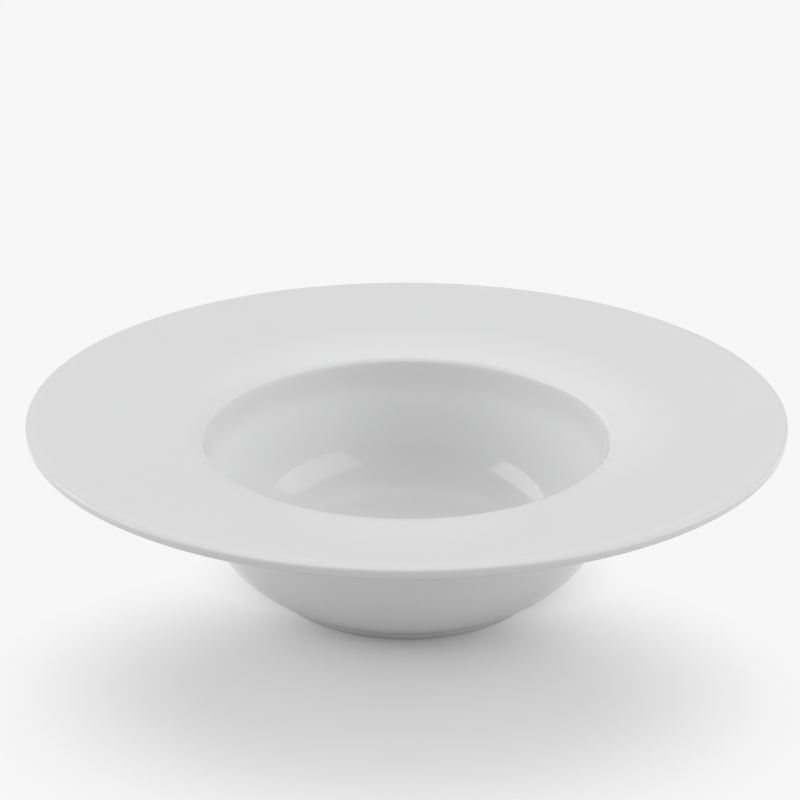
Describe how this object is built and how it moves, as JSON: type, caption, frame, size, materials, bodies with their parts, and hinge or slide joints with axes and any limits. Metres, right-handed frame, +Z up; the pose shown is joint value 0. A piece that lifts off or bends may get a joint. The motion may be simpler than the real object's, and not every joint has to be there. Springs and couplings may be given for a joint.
{
  "type": "pasta bowl",
  "caption": "Wide-rim pasta bowl in plain white glazed porcelain: a deep steep-walled well under a broad, gently rising rim, standing on a low bare foot ring; serves a sauced dish.",
  "frame": {"origin": "on the bowl's axis, in the plane its foot ring stands on", "axes": "+Z up along the bowl's axis; the bowl is round, and -Y is the side that faces the camera in the picture"},
  "size_m": [0.3, 0.3, 0.0792],
  "materials": {
    "porcelain": "unglazed, fine matt bisque on the standing face",
    "glaze": "smooth high-gloss white glaze"
  },
  "bodies": {
    "root": {"porcelain_body": "porcelain", "main_glaze": "glaze", "base_glaze": "glaze"}
  },
  "joints": []
}
